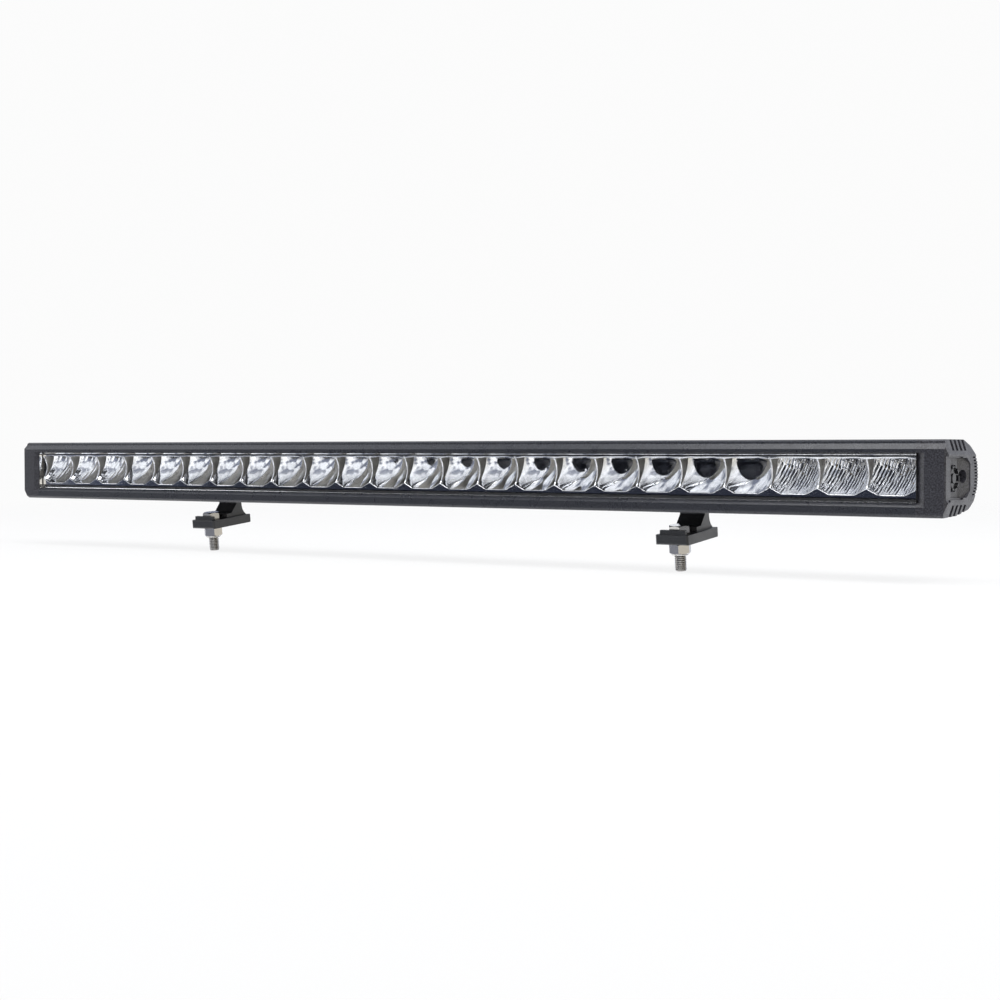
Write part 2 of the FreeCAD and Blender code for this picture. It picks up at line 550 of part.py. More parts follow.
def foot_bolt():
    """Hexagon bolt held in the foot's channel, free thread down."""
    y, top, bevel_height = SLOT_Y + BOLT_Y, SLOT_Z + PLATE_TOP, 2.1
    down = V(0, 0, -1)
    head = hexagon(HEX_ACROSS, HEAD_HEIGHT, V(0, y, top), Z_AXIS)
    bevel = Part.makeCone(8.4, 6.3, bevel_height, V(0, y, top + HEAD_HEIGHT - bevel_height), Z_AXIS)
    under = rod(8.4, HEAD_HEIGHT - bevel_height, V(0, y, top), Z_AXIS)
    head = head.common(fuse([under, bevel]))
    thread_from = SHANK_LENGTH + UNDERCUT_LENGTH
    shank = rod(SHANK_R, SHANK_LENGTH, V(0, y, top), down)
    undercut = rod(UNDERCUT_R, UNDERCUT_LENGTH, V(0, y, top - SHANK_LENGTH), down)
    thread = rod(BOLT_R, BOLT_LENGTH - thread_from, V(0, y, top - thread_from), down)
    tip = [e for e in thread.Edges if e.BoundBox.ZMax < top - BOLT_LENGTH + 0.1]
    return fuse([head, shank, undercut, thread.makeChamfer(0.8, tip)])


def foot_nut():
    """Lock nut under the base plate, collar down."""
    top = SLOT_Z + PLATE_BOTTOM - 0.1
    body = hexagon(HEX_ACROSS, NUT_HEIGHT, V(0, SLOT_Y + BOLT_Y, top - NUT_HEIGHT), Z_AXIS)
    bevel = Part.makeCone(6.1, 8.4, 2.3, V(0, SLOT_Y + BOLT_Y, top - NUT_HEIGHT), Z_AXIS)
    upper = rod(8.4, NUT_HEIGHT - 2.3, V(0, SLOT_Y + BOLT_Y, top - NUT_HEIGHT + 2.3), Z_AXIS)
    body = body.common(fuse([bevel, upper]))
    collar = rod(5.7, NUT_COLLAR, V(0, SLOT_Y + BOLT_Y, top - NUT_HEIGHT - NUT_COLLAR), Z_AXIS)
    bore = rod(NUT_BORE_R, 20, V(0, SLOT_Y + BOLT_Y, top - 15), Z_AXIS)
    return fuse([body, collar]).cut(bore)


def stand_foot(shape, x):
    """Move a foot piece to its place along the bar and tilt it about the bead."""
    placed = shape.copy()
    placed.translate(V(x, 0, 0))
    placed.rotate(V(x, SLOT_Y, SLOT_Z), X_AXIS, FOOT_TILT)
    return placed


def left_side(shape):
    return shape.mirror(V(0, 0, 0), X_AXIS)


def save(name, shape):
    """Write one node with the origin on the foot slot's axis."""
    placed = shape.copy()
    placed.translate(ORIGIN.negative())
    placed.exportStep(os.path.join("parts", name + ".step"))


def build():
    os.makedirs("parts", exist_ok=True)
    save("housing", housing())
    save("lens", lens())
    save("lens_seal_top", lens_seal("top"))
    save("lens_seal_bottom", lens_seal("bottom"))
    for i in range(MODULES):
        save("reflector_%d" % (i + 1), reflector_module(i))
    for i in range(BOARDS):
        save("led_board_%d" % (i + 1), led_board(i))
    save("leds", leds())
    save("board_screws", board_screws())
    save("driver_board", driver_board())
    save("driver_chokes", driver_chokes())
    save("driver_capacitors", driver_capacitors())
    save("end_cap_right", end_cap(LOW_SLOPE["right"]))
    save("end_cap_left", left_side(end_cap(LOW_SLOPE["left"])))
    save("cap_gasket_right", cap_gasket())
    save("cap_gasket_left", left_side(cap_gasket()))
    save("cap_screws", Part.makeCompound([cap_screw(), left_side(cap_screw())]))
    save("breather_plug", side_plug(True))
    save("blank_plug", left_side(side_plug(False)))
    save("gland_body", gland_body())
    save("gland_seal", gland_seal())
    save("gland_nut", gland_nut())
    for side, x in FOOT_X.items():
        save("shoe_" + side, shoe(x))
        save("shoe_screws_" + side, shoe_screws(x))
        save("foot_" + side, stand_foot(foot(), x))
        save("foot_bolt_" + side, stand_foot(foot_bolt(), x))
        nut = foot_nut()
        nut.rotate(V(0, SLOT_Y + BOLT_Y, 0), Z_AXIS, NUT_TURN[side])
        save("foot_nut_" + side, stand_foot(nut, x))


build()
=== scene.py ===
"""Looks of the LED light bar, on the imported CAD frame.

Section sizes are in millimetres in the drawing axes of the bar: x along it from its middle,
y backwards from the front face, z up from the lower front rim. at() turns them into the
frame's metres, whose origin is on the axis of the foot slot.
"""
import math

import bmesh
import bpy
from mathutils import Matrix, Vector


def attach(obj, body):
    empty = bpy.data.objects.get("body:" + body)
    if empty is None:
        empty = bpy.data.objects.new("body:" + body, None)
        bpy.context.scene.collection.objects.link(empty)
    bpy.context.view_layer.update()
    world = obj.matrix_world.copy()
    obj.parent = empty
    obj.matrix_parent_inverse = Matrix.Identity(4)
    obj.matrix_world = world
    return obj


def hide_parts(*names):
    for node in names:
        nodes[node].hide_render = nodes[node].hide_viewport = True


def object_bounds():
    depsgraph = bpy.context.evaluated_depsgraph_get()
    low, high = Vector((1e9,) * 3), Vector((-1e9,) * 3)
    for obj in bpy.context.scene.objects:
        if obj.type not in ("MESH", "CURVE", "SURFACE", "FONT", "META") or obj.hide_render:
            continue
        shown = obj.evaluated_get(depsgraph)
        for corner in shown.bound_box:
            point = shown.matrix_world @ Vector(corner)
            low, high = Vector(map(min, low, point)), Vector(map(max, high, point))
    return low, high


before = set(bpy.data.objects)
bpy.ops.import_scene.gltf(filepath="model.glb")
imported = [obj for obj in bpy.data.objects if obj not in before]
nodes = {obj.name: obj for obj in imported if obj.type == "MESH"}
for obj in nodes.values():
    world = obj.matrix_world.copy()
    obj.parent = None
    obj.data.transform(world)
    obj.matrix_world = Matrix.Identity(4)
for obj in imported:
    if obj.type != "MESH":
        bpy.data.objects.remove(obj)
cad_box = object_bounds()

MM = 0.001
SLOT_Y, SLOT_Z = 35.0, 10.2         # axis of the foot slot
BAR_HALF = 385.0                    # half the length of the extrusion
CELL_PITCH = 32.0
CELLS_PER_MODULE = 3
MODULES = 8
FOOT_TILT = math.radians(6.0)
FOOT_X = {"left": -201.0, "right": 217.7}
NUT_TURN = {"left": 20.0, "right": -10.0}           # degrees


def at(x, y, z):
    """Place in the frame of a point of the drawing."""
    return Vector((x, y - SLOT_Y, z - SLOT_Z)) * MM


# ---------------------------------------------------------------- shader helpers
NOISE_SPAN = (0.3, 0.7)             # most values of a noise lie between these
DETAIL = 3.0
BROAD_SCALE, BROAD_DETAIL = 90.0, 4.0                   # uneven gloss of a coat
GLOSS_SCALE = 160.0                 # uneven gloss of plastic
COAT_BUMP, PLASTIC_BUMP, METAL_BUMP = 0.0002, 0.0001, 0.00005       # metres


def new_material(name, colour, rough, metallic=0.0):
    """Plain material; returns it with its node tree and its shader."""
    mat = bpy.data.materials.new(name)
    mat.use_nodes = True
    shader = mat.node_tree.nodes["Principled BSDF"]
    shader.inputs["Base Color"].default_value = (*colour, 1)
    shader.inputs["Roughness"].default_value = rough
    shader.inputs["Metallic"].default_value = metallic
    return mat, mat.node_tree, shader


def noise_node(tree, scale, detail=DETAIL, rough=0.55, stretch=(1, 1, 1)):
    """Noise fixed to the piece, stretched along its axes."""
    coords = tree.nodes.new("ShaderNodeTexCoord")
    mapping = tree.nodes.new("ShaderNodeMapping")
    mapping.inputs["Scale"].default_value = stretch
    tree.links.new(coords.outputs["Object"], mapping.inputs["Vector"])
    noise = tree.nodes.new("ShaderNodeTexNoise")
    noise.inputs["Scale"].default_value = scale
    noise.inputs["Detail"].default_value = detail
    noise.inputs["Roughness"].default_value = rough
    tree.links.new(mapping.outputs["Vector"], noise.inputs["Vector"])
    return noise.outputs["Fac"]


def ramp(tree, source, stops):
    """Colours by a value, from (value, colour) stops."""
    node = tree.nodes.new("ShaderNodeValToRGB")
    node.color_ramp.elements[0].position = stops[0][0]
    node.color_ramp.elements[0].color = (*stops[0][1], 1)
    node.color_ramp.elements[1].position = stops[-1][0]
    node.color_ramp.elements[1].color = (*stops[-1][1], 1)
    for place, colour in stops[1:-1]:
        node.color_ramp.elements.new(place).color = (*colour, 1)
    tree.links.new(source, node.inputs["Fac"])
    return node.outputs["Color"]


def to_range(tree, source, low, high):
    """A noise turned into values from low to high."""
    node = tree.nodes.new("ShaderNodeMapRange")
    node.inputs["From Min"].default_value, node.inputs["From Max"].default_value = NOISE_SPAN
    node.inputs["To Min"].default_value = low
    node.inputs["To Max"].default_value = high
    tree.links.new(source, node.inputs["Value"])
    return node.outputs["Result"]


def bump(tree, shader, source, strength, distance):
    """Relief by a value; the distance is in metres."""
    node = tree.nodes.new("ShaderNodeBump")
    node.inputs["Strength"].default_value = strength
    node.inputs["Distance"].default_value = distance
    tree.links.new(source, node.inputs["Height"])
    tree.links.new(node.outputs["Normal"], shader.inputs["Normal"])


def powder(name, dark, light, rough, grain=1400.0, strength=0.5):
    """Fine-grained powder coat: speckled colour, uneven gloss and an orange-peel surface."""
    mat, tree, shader = new_material(name, dark, sum(rough) / 2)
    fine = noise_node(tree, grain, 2.0)
    broad = noise_node(tree, BROAD_SCALE, BROAD_DETAIL)
    tree.links.new(ramp(tree, fine, [(0.35, dark), (0.68, light)]), shader.inputs["Base Color"])
    tree.links.new(to_range(tree, broad, *rough), shader.inputs["Roughness"])
    bump(tree, shader, fine, strength, COAT_BUMP)
    return mat


def moulded(name, colour, rough, grain=2600.0, strength=0.15, sheen=0.5):
    """Injection-moulded plastic or rubber with a fine spark-eroded grain."""
    mat, tree, shader = new_material(name, colour, rough)
    shader.inputs["Specular IOR Level"].default_value = sheen
    fine = noise_node(tree, grain, 2.0)
    light = tuple(min(1.0, c * 1.35 + 0.004) for c in colour)
    tree.links.new(ramp(tree, fine, [(0.35, colour), (0.7, light)]), shader.inputs["Base Color"])
    gloss = to_range(tree, noise_node(tree, GLOSS_SCALE), rough * 0.85, rough * 1.15)
    tree.links.new(gloss, shader.inputs["Roughness"])
    bump(tree, shader, fine, strength, PLASTIC_BUMP)
    return mat


def metal(name, colour, rough, stretch=(1, 1, 1), scale=700.0, strength=0.12):
    """Bare or plated metal with fine tool marks."""
    mat, tree, shader = new_material(name, colour, sum(rough) / 2, 1.0)
    marks = noise_node(tree, scale, 4.0, 0.6, stretch)
    dull = tuple(c * 0.82 for c in colour)
    tree.links.new(ramp(tree, marks, [(0.3, dull), (0.65, colour)]), shader.inputs["Base Color"])
    tree.links.new(to_range(tree, marks, *rough), shader.inputs["Roughness"])
    bump(tree, shader, marks, strength, METAL_BUMP)
    return mat


def clear(name, colour, rough, ior):
    """Clear plastic or silicone."""
    mat, _, shader = new_material(name, colour, rough)
    shader.inputs["Transmission Weight"].default_value = 1.0
    shader.inputs["IOR"].default_value = ior
    return mat


HOUSING = powder("powder_coat", (0.007, 0.008, 0.011), (0.042, 0.044, 0.054), (0.24, 0.36))
END_CAP = powder("cap_coat", (0.008, 0.008, 0.010), (0.056, 0.055, 0.066), (0.28, 0.42), 1000.0, 1.0)
FOOT = powder("foot_coat", (0.012, 0.013, 0.015), (0.026, 0.027, 0.030), (0.30, 0.42), 1800.0, 0.35)
CHROME = metal("mirror_coat", (0.90, 0.91, 0.93), (0.02, 0.06), (1, 1, 1), 120.0, 0.05)
CELL_WALL = metal("cell_wall", (0.64, 0.615, 0.56), (0.40, 0.50), (1, 1, 1), 300.0)
STEEL = metal("stainless", (0.62, 0.605, 0.58), (0.12, 0.22), (1, 1, 6), 900.0)
# painted shade: this darker metal on the thread's roots stands in for the shade in its grooves
THREAD_ROOT_SHADE = metal("thread_root_painted_shade", (0.30, 0.29, 0.28), (0.25, 0.40))
DARK_STEEL = metal("black_steel", (0.10, 0.10, 0.105), (0.25, 0.38))
BARE_ALUMINIUM = metal("bare_aluminium", (0.62, 0.62, 0.63), (0.28, 0.42), (0.05, 1, 1), 1200.0)
LENS = clear("clear_lens", (1.0, 1.0, 1.0), 0.0, 1.49)
DOME = clear("silicone_dome", (1.0, 0.97, 0.88), 0.02, 1.41)
NYLON = moulded("black_nylon", (0.005, 0.005, 0.006), 0.20, sheen=0.25)
RUBBER = moulded("black_silicone", (0.020, 0.020, 0.021), 0.62)
FERRITE = moulded("ferrite", (0.045, 0.043, 0.042), 0.55)
BLACK_MASK = moulded("black_solder_mask", (0.045, 0.048, 0.060), 0.35, 900.0, 0.05)
GREEN_MASK = moulded("green_solder_mask", (0.015, 0.11, 0.045), 0.35, 900.0, 0.05)
CERAMIC = moulded("ceramic", (0.20, 0.20, 0.20), 0.5, 1500.0, 0.05)
PHOSPHOR = moulded("phosphor", (0.36, 0.24, 0.05), 0.6, 3000.0, 0.1)
SLEEVE = metal("capacitor_can", (0.45, 0.46, 0.50), (0.25, 0.35))


# ---------------------------------------------------------------- mesh helpers
def link(name, mesh, mat, body, angle=30.0, stands_for=()):
    """Put a finished mesh in the scene as a piece of the bar."""
    obj = bpy.data.objects.new(name, mesh)
    bpy.context.scene.collection.objects.link(obj)
    mesh.materials.append(mat)
    mesh.shade_smooth()
    mesh.set_sharp_from_angle(angle=math.radians(angle))
    weighted = obj.modifiers.new("even_normals", "WEIGHTED_NORMAL")
    weighted.keep_sharp = True
    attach(obj, body)
    if stands_for:
        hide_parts(*stands_for)
    return obj


def to_mesh(name, bm):
    """Finish a mesh under construction, with its faces turned outwards."""
    bmesh.ops.recalc_face_normals(bm, faces=bm.faces)
    mesh = bpy.data.meshes.new(name)
    bm.to_mesh(mesh)
    bm.free()
    return mesh


def turns(count):
    """Angles evenly round a circle."""
    return [math.tau * i / count for i in range(count)]


def loop_edges(bm, loop):
    """Edges along a closed loop of vertices."""
    return [bm.edges.get((loop[i], loop[(i + 1) % len(loop)])) for i in range(len(loop))]


def ring_surface(bm, rings):
    """Quads between rings of points; returns the rings of vertices made for them."""
    made = [[bm.verts.new(p) for p in ring] for ring in rings]
    count = len(made[0])
    for low, high in zip(made, made[1:]):
        for i in range(count):
            j = (i + 1) % count
            bm.faces.new((low[i], low[j], high[j], high[i]))
    return made


def lathe(bm, profile, place, segments=48, close_start=False, close_end=False):
    """Turned shape from (radius, height) points about place's Z axis."""
    rings = [[place @ Vector((radius * math.cos(a), radius * math.sin(a), height)) for a in turns(segments)]
             for radius, height in profile]
    made = ring_surface(bm, rings)
    if close_start:
        bm.faces.new(made[0])
    if close_end:
        bm.faces.new(made[-1])


def hex_radius(angle, flats):
    """Distance from a hexagon's centre to its side in a direction; corners at 0, 60, 120..."""
    off = (math.degrees(angle) % 60.0) - 30.0
    return flats / 2 / math.cos(math.radians(off))


HEX_SEGMENTS = 96
WASHER_SHARE = 0.96                 # round end face of a hexagon against its flats
BEVEL_SLOPE = 1.25 * math.tan(math.radians(30.0))
HOLE_BEVEL = 0.4


def hex_block(bm, flats, low, high, place, bevel_low, hole=0.0):
    """Hexagon with turned bevels, as on bolt heads and nuts."""
    washer = flats / 2 * WASHER_SHARE

    def ring(radius_of, height_of):
        return [place @ Vector((radius_of(a) * math.cos(a), radius_of(a) * math.sin(a), height_of(a)))
                for a in turns(HEX_SEGMENTS)]

    def side(a):
        return hex_radius(a, flats)

    def drop(a):
        return max(0.0, side(a) - washer) * BEVEL_SLOPE

    rings = []
    if hole:
        rings.append(ring(lambda a: hole, lambda a: low + HOLE_BEVEL))
        rings.append(ring(lambda a: hole + HOLE_BEVEL, lambda a: low))
    rings.append(ring(lambda a: washer if bevel_low else side(a), lambda a: low))
    if bevel_low:
        rings.append(ring(side, lambda a: low + drop(a)))
    rings.append(ring(side, lambda a: high - drop(a)))
    rings.append(ring(lambda a: washer, lambda a: high))
    if hole:
        rings.append(ring(lambda a: hole + HOLE_BEVEL, lambda a: high))
        rings.append(ring(lambda a: hole, lambda a: high - HOLE_BEVEL))
        rings.append(ring(lambda a: hole, lambda a: low + HOLE_BEVEL))
    made = ring_surface(bm, rings)
    if not hole:
        bm.faces.new(made[0])
        bm.faces.new(made[-1])


TINY = 1e-6                         # length of a side that counts as none
ARC_SHARE = 0.45                    # most of a side that one curve may take


def rounded(points, steps=4):
    """Polygon of (y, z, radius) corners with its corners turned into curves."""
    result = []
    count = len(points)
    for i, (y, z, radius) in enumerate(points):
        here = Vector((y, z))
        back = Vector(points[i - 1][:2]) - here
        ahead = Vector(points[(i + 1) % count][:2]) - here
        if radius <= 0 or back.length < TINY or ahead.length < TINY:
            result.append(here)
            continue
        half = back.angle(ahead) / 2
        reach = min(radius / math.tan(half), ARC_SHARE * back.length, ARC_SHARE * ahead.length)
        start = here + back.normalized() * reach
        end = here + ahead.normalized() * reach
        for k in range(steps + 1):
            t = k / steps
            result.append(start * (1 - t) ** 2 + here * 2 * t * (1 - t) + end * t ** 2)
    return result


def extrude(name, loop, x0, x1):
    """Mesh of a (y, z) loop run along the bar, with filled ends."""
    bm = bmesh.new()
    rings = ring_surface(bm, [[at(x, p[0], p[1]) for p in loop] for x in (x0, x1)])
    for ring in rings:
        bmesh.ops.triangle_fill(bm, use_beauty=False, use_dissolve=False, edges=loop_edges(bm, ring))
    return to_mesh(name, bm)


# ---------------------------------------------------------------- extruded housing
TOP = 46.4
UNDERSIDE = [(1.6, 0.0), (24.0, 0.9), (40.5, 4.4)]
BACK = [(46.5, 11.5, 3), (50.8, 17.0, 7), (52.0, 24.5, 12), (51.0, 32.0, 9), (47.7, 37.7, 9),
        (43.0, 42.7, 7)]
GAP_FIRST, GAP_PITCH, GAP_HALF = 12.0, 6.6, 1.7         # the gaps between the fins
GAPS_BELOW, GAPS_ABOVE = 3, 4
GAP_ROOF, GAP_FLOOR, GAP_CORNER = 5.4, 41.0, 0.5
MOUTH_HALF, SLOT_HALF = 4.5, 5.4                        # the foot slot's half widths
SLOT_LIP, SLOT_ROOF = 5.8, 15.0
FLUTE_PITCH, FLUTE_HALF, FLUTE_DEPTH, FLUTE_COUNT, FLUTE_MIDDLE = 1.87, 0.45, 0.8, 13, 24.5
FLUTE_SINK = 0.06                   # how far the flutes' edges lie under the outline
WINDOW_LOW, WINDOW_HIGH, CAVITY_BACK = 8.4, 38.5, 27.4
GROOVE_LOW, GROOVE_HIGH = 6.0, 41.0                     # the two grooves that hold the lens
GROOVE_FRONT, GROOVE_BACK = 3.0, 6.6
EDGE = 0.25                         # radius of the section's sharpest corners


def line_at(points, value, axis):
    """Other coordinate of a chain of points where one coordinate takes a value."""
    for a, b in zip(points, points[1:]):
        low, high = sorted((a[axis], b[axis]))
        if low <= value <= high and high > low:
            share = (value - a[axis]) / (b[axis] - a[axis])
            return a[1 - axis] + share * (b[1 - axis] - a[1 - axis])
    return points[-1][1 - axis]


def underside(y):
    """Corner on the sloping underside."""
    return (y, line_at(UNDERSIDE, y, 0), EDGE)


def bottom_points():
    """Gaps between the bottom fins, then the T-shaped foot slot, from front to back."""
    points = []
    for i in range(GAPS_BELOW):
        y = GAP_FIRST + GAP_PITCH * i
        front, back = y - GAP_HALF, y + GAP_HALF
        points += [underside(front), (front, GAP_ROOF, GAP_CORNER),
                   (back, GAP_ROOF, GAP_CORNER), underside(back)]
    mouth = SLOT_Y - MOUTH_HALF, SLOT_Y + MOUTH_HALF
    inside = SLOT_Y - SLOT_HALF, SLOT_Y + SLOT_HALF
    points += [underside(mouth[0]), (mouth[0], SLOT_LIP, EDGE), (inside[0], SLOT_LIP, 0.1),
               (inside[0], SLOT_ROOF, 0.3), (inside[1], SLOT_ROOF, 0.3),
               (inside[1], SLOT_LIP, 0.1), (mouth[1], SLOT_LIP, EDGE), underside(mouth[1])]
    return points


def back_points():
    """Fine flutes up the back."""
    points = []
    for i in range(FLUTE_COUNT):
        z = FLUTE_MIDDLE + FLUTE_PITCH * (i - (FLUTE_COUNT - 1) / 2)
        low, high = z - FLUTE_HALF, z + FLUTE_HALF
        face = [line_at([UNDERSIDE[-1]] + BACK, height, 1) for height in (low, high)]
        floor = min(face) - FLUTE_DEPTH
        points += [(face[0] - FLUTE_SINK, low, 0.18), (floor, low, 0.15), (floor, high, 0.15),
                   (face[1] - FLUTE_SINK, high, 0.18)]
    return points


def top_points():
    """Gaps between the top fins, from back to front."""
    points = []
    for i in reversed(range(GAPS_ABOVE)):
        y = GAP_FIRST + GAP_PITCH * i
        points += [(y + GAP_HALF, TOP, EDGE), (y + GAP_HALF, GAP_FLOOR, GAP_CORNER),
                   (y - GAP_HALF, GAP_FLOOR, GAP_CORNER), (y - GAP_HALF, TOP, EDGE)]
    return points


def housing_section():
    """Whole cross-section: bottom, back, top, bezel, and the cavity with the lens's grooves."""
    loop = [(0, 1.8, 1.2), (*UNDERSIDE[0], 1.2)] + bottom_points()
    loop += [(*UNDERSIDE[-1], 0.8), (*BACK[0][:2], 0)] + back_points()
    loop += BACK[-2:] + [(34.5, TOP, 5)] + top_points()
    loop += [(4.0, TOP, 0.8), (2.8, 45.4, 0.2), (2.6, 44.0, 0.3), (0, 40.7, 0.3), (0, WINDOW_HIGH, EDGE)]
    loop += [(GROOVE_FRONT, WINDOW_HIGH, 0.15), (GROOVE_FRONT, GROOVE_HIGH, 0),
             (GROOVE_BACK, GROOVE_HIGH, 0), (GROOVE_BACK, WINDOW_HIGH, 0.1),
             (CAVITY_BACK, WINDOW_HIGH, 0.3), (CAVITY_BACK, WINDOW_LOW, 0.3),
             (GROOVE_BACK, WINDOW_LOW, 0.1), (GROOVE_BACK, GROOVE_LOW, 0),
             (GROOVE_FRONT, GROOVE_LOW, 0), (GROOVE_FRONT, WINDOW_LOW, 0.1)]
    loop += [(2.4, WINDOW_LOW, 0.2), (0, 6.2, 0.3)]
    return rounded(loop)


def housing():
    """The extrusion between the end caps."""
    mesh = extrude("housing_extrusion", housing_section(), -BAR_HALF, BAR_HALF)
    link("housing_extrusion", mesh, HOUSING, "bar", 28.0, ["housing"])


# ---------------------------------------------------------------- lens
LENS_HALF = BAR_HALF - 0.1
LENS_FACE, LENS_FRONT, LENS_BACK = 1.2, 3.1, 6.0        # raised face, rim's front and back
LENS_LOW, LENS_HIGH, FACE_LOW, FACE_HIGH = 6.4, 40.6, 8.8, 38.2
LENS_SECTION = [(LENS_FRONT, LENS_LOW, 0.1), (LENS_BACK, LENS_LOW, 0.1),
                (LENS_BACK, LENS_HIGH, 0.1), (LENS_FRONT, LENS_HIGH, 0.1),
                (LENS_FRONT, FACE_HIGH, 0.1), (2.2, FACE_HIGH, 0.2), (LENS_FACE, 37.1, 0.35),
                (LENS_FACE, 9.2, 0.3), (1.6, FACE_LOW, 0.2), (LENS_FRONT, FACE_LOW, 0.1)]
FILM_INSIDE, FILM_OUTSIDE = 0.01, 0.08                  # distances from the lens's end face


def lens():
    """Clear cover, with a film of black sealant on its end faces."""
    section = rounded(LENS_SECTION, 3)
    for side, name in ((-1, "lens_sealant_left"), (1, "lens_sealant_right")):
        mesh = extrude(name, section, side * (LENS_HALF + FILM_INSIDE), side * (LENS_HALF + FILM_OUTSIDE))
        link(name, mesh, RUBBER, "bar")
    mesh = extrude("front_lens", section, -LENS_HALF, LENS_HALF)
    obj = link("front_lens", mesh, LENS, "bar", 28.0, ["lens"])
    obj.visible_shadow = False


# ---------------------------------------------------------------- reflectors
CELL_Z = 25.5                       # middle of the cells; their outline is given from here
CELL_TOP, CELL_BOTTOM, CELL_HALF, CORNER_X, SHOULDER = 9.5, -12.4, 15.4, 8.4, 8.9
CELL_OPENING = [(-CORNER_X, CELL_TOP), (CORNER_X, CELL_TOP), (CELL_HALF, SHOULDER),
                (CELL_HALF, -SHOULDER), (CORNER_X, CELL_BOTTOM), (-CORNER_X, CELL_BOTTOM),
                (-CELL_HALF, -SHOULDER), (-CELL_HALF, SHOULDER)]
FLANGE_FRONT, BOWL_BACK, RIM_R = 6.9, 24.6, 25.0
FLANGE_LOW, FLANGE_HIGH, FLANGE_THICKNESS, MODULE_GAP = 11.4, 38.2, 1.4, 0.1
BOWL_AXIS = Vector((0, CELL_TOP))
BOWL_HEART = Vector((0, 2.0))       # where the mesh of a bowl starts from
FOCUS_Y = BOWL_BACK - RIM_R ** 2 / (4 * (BOWL_BACK - FLANGE_FRONT))
LIP, TOP_LIP, LIP_STEPS = 0.55, 0.85, 3
LIP_CHANGE = 0.5                    # height over which the lip grows above the shoulder
SCOOP_DEPTH = 3.4                   # of the walls between the cells, halfway up
SCOOP_R = (SHOULDER ** 2 + SCOOP_DEPTH ** 2) / (2 * SCOOP_DEPTH)
SCOOP_STEPS = 12
LED_HOLE_R, LED_HOLE_DEPTH, LED_HOLE_SEGMENTS = 5.2, 0.8, 40
LED_HOLE_SHIFT = -1.7               # chosen so that the hole's mirror image lies as in the photo
PLAIN_MESH, FLUTED_MESH = (12, 20), (24, 40)            # points per side of the opening, rows
BOWL_FLUTES = {0: (0.22, 3.1), MODULES - 1: (0.40, 2.1)}     # depth and pitch, by module
FLUTE_ROW, FLUTE_REACH = 6.5, 8.0   # height of a row, distance from the rim to full depth


def opening_points(per_side):
    """Points round a cell's opening, evenly along each side, with the round rim at the lower corners."""
    points = []
    for i, (x0, z0) in enumerate(CELL_OPENING):
        x1, z1 = CELL_OPENING[(i + 1) % len(CELL_OPENING)]
        for k in range(per_side):
            reach = Vector((x0 + (x1 - x0) * k / per_side, z0 + (z1 - z0) * k / per_side)) - BOWL_AXIS
            points.append(BOWL_AXIS + reach * min(1.0, RIM_R / max(reach.length, 0.1)))
    return points


def on_wall(p):
    """Whether a point of the opening is on one of the walls between cells."""
    return abs(p.x) > CELL_HALF - 0.1


def outward(points):
    """Unit directions square to a closed loop, pointing out."""
    result = []
    for i, p in enumerate(points):
        along = points[(i + 1) % len(points)] - points[i - 1]
        side = Vector((along.y, -along.x)).normalized()
        result.append(side if side.dot(p) > 0 else -side)
    return result


def scoop(z):
    """How far back the front edge of a wall between cells lies at a height over the cell's middle."""
    if abs(z) >= SHOULDER:
        return 0.0
    return math.sqrt(SCOOP_R ** 2 - z ** 2) - (SCOOP_R - SCOOP_DEPTH)


def bowl_depth(p):
    """Depth of the paraboloid behind a point of the opening."""
    return BOWL_BACK - (BOWL_BACK - FLANGE_FRONT) * ((p - BOWL_AXIS).length / RIM_R) ** 2


def flute(p, share, depth, pitch):
    """Height of short rounded flutes across a bowl, in slanting staggered rows of uneven depth."""
    row = math.floor((p.y + 0.5 * p.x) / FLUTE_ROW)
    phase = ((p.x - 0.30 * p.y) / pitch + 0.18 * row) % 1.0
    uneven = 0.75 + 0.25 * math.sin(2.4 * row + p.x)
    return depth * uneven * (1 - (2 * phase - 1) ** 2) * min(1.0, share * 3)


def bowl_ring(rim, share, centre, flutes):
    """Ring of points of a bowl, a share of the way out from its heart."""
    ring = []
    for p in rim:
        flat = BOWL_HEART.lerp(p, share)
        y = bowl_depth(flat)
        if flutes:
            y -= flute(flat, (y - FLANGE_FRONT) / FLUTE_REACH, *flutes)
        ring.append(at(centre + flat.x, max(y, FLANGE_FRONT + LIP), CELL_Z + flat.y))
    return ring


def lip_ring(rim, turn, centre):
    """Ring of points of the rounded lip between the bowl and the flange's front."""
    ring = []
    for p, side in zip(rim, outward(rim)):
        lip = LIP + (TOP_LIP - LIP) * min(1.0, max(0.0, (p.y - SHOULDER) / LIP_CHANGE))
        edge = FLANGE_FRONT + (scoop(p.y) if on_wall(p) else 0.0)
        q = p + side * lip * (1 - math.cos(turn))
        ring.append(at(centre + q.x, edge + lip * (1 - math.sin(turn)), CELL_Z + q.y))
    return ring


def cell(bm, centre, flutes):
    """One half bowl with its ceiling, walls and lip; returns the outer ring of vertices."""
    per_side, rows = FLUTED_MESH if flutes else PLAIN_MESH
    rim = opening_points(per_side)
    rings = [bowl_ring(rim, row / rows, centre, flutes) for row in range(1, rows + 1)]
    rings += [lip_ring(rim, math.radians(90 * k / LIP_STEPS), centre) for k in range(LIP_STEPS + 1)]
    made = ring_surface(bm, rings)
    bm.faces.new(made[0])
    bowl_edge, lip_edge = made[rows - 1], made[rows]
    for i in range(len(rim) - 1):
        if on_wall(rim[i]) and on_wall(rim[i + 1]):
            for face in set(bowl_edge[i].link_faces) & set(lip_edge[i + 1].link_faces):
                face.material_index = 1
    pierce_ceiling(bm, centre, bowl_edge[:per_side + 1], lip_edge[:per_side + 1])
    return made[-1]


